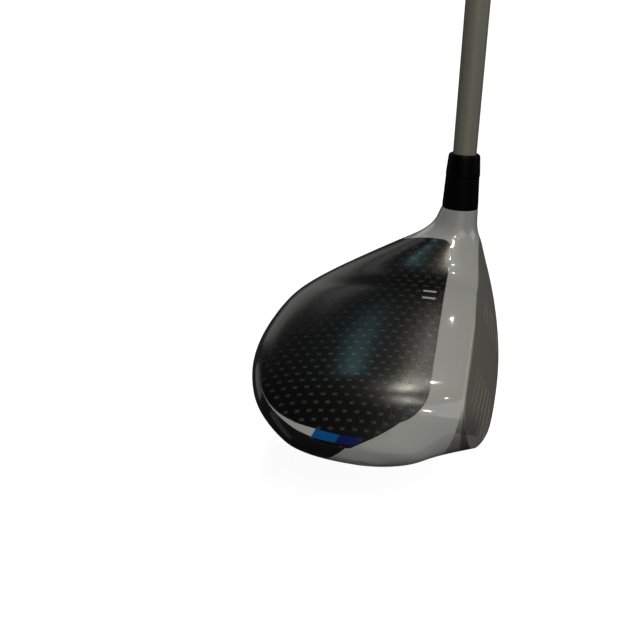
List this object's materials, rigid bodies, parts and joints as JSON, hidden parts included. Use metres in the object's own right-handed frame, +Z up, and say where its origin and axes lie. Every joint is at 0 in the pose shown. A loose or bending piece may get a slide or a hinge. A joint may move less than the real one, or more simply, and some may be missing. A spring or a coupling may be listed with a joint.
{
  "type": "golf wood club",
  "caption": "Golf driver-style wood: hollow lofted head with composite crown, brushed face and steel sole keel, on an adjustable hosel sleeve with a tapered shaft and rubber grip.",
  "frame": {"origin": "the flat land in the middle of the sole, on the ground, with the club soled at address", "axes": "+X from toe to heel, +Y from face to back (the ball leaves along -Y), +Z up; the hosel leans 58 degrees up from +X in a plane of constant Y"},
  "size_m": [0.6913, 0.09, 0.9212],
  "materials": {
    "body_paint": "gloss light grey paint in front, gloss black behind, over a cast shell",
    "face_metal": "dark, brushed from heel to toe",
    "crown_composite": "gloss clear coat over black carbon weave",
    "sole_composite": "gloss clear coat over black carbon weave",
    "keel_steel": "brushed along the keel",
    "screw_steel": "dark, satin",
    "weight_steel": "turned, satin",
    "washer_steel": "bright zinc",
    "retainer_nylon": "natural nylon",
    "slot_rubber": "matte black",
    "sleeve_alloy": "black anodised, satin",
    "ferrule_plastic": "black, satin gloss",
    "shaft_paint": "olive grey paint over carbon composite, satin",
    "plug_plastic": "plain",
    "tape": "woven tape",
    "grip_rubber": "matte, moulded pattern"
  },
  "bodies": {
    "club": {"shaft": "shaft_paint", "tip_plug": "plug_plastic", "ferrule": "ferrule_plastic", "loft_sleeve": "sleeve_alloy", "grip_tape": "tape", "grip": "grip_rubber", "grip_end_cap": "grip_rubber"},
    "hosel_seat": {"hosel_washer": "washer_steel"},
    "head": {"head_body": "body_paint", "face_cup": "face_metal", "crown_panel": "crown_composite", "sole_panel_toe": "sole_composite", "sole_panel_heel": "sole_composite", "sole_keel": "keel_steel", "keel_screws": "screw_steel", "slot_filler": "slot_rubber"},
    "screw_ring": {"screw_retainer": "retainer_nylon"},
    "clamp_screw": {"hosel_screw": "screw_steel"},
    "tail_weight": {"rear_weight": "weight_steel"},
    "tail_screw": {"rear_weight_screw": "screw_steel"}
  },
  "joints": [
    {"name": "head_release", "type": "slide", "parent": "club", "child": "hosel_seat", "axis": [-0.5299, 0, -0.848], "range_m": [0, 0.045]},
    {"name": "loft_setting", "type": "hinge", "parent": "hosel_seat", "child": "head", "pos_m": [0.05106, -0.008, 0.04411], "axis": [0.5299, 0, 0.848], "continuous": true},
    {"name": "screw_travel", "type": "slide", "parent": "hosel_seat", "child": "screw_ring", "axis": [-0.5299, 0, -0.848], "range_m": [0, 0.0064]},
    {"name": "screw_turn", "type": "hinge", "parent": "screw_ring", "child": "clamp_screw", "pos_m": [0.05106, -0.008, 0.04411], "axis": [-0.5299, 0, -0.848], "range_deg": [0, 2880]},
    {"name": "weight_travel", "type": "slide", "parent": "head", "child": "tail_weight", "axis": [0, 0.4067, -0.9135], "range_m": [0, 0.0056]},
    {"name": "weight_screw_turn", "type": "hinge", "parent": "tail_weight", "child": "tail_screw", "pos_m": [-0.007, 0.04454, 0.00642], "axis": [0, 0.4067, -0.9135], "range_deg": [0, 2880]}
  ],
  "couplings": [
    {"joint": "screw_turn", "follows": "screw_travel", "rad_per_m": 7854},
    {"joint": "weight_screw_turn", "follows": "weight_travel", "rad_per_m": 8976}
  ]
}
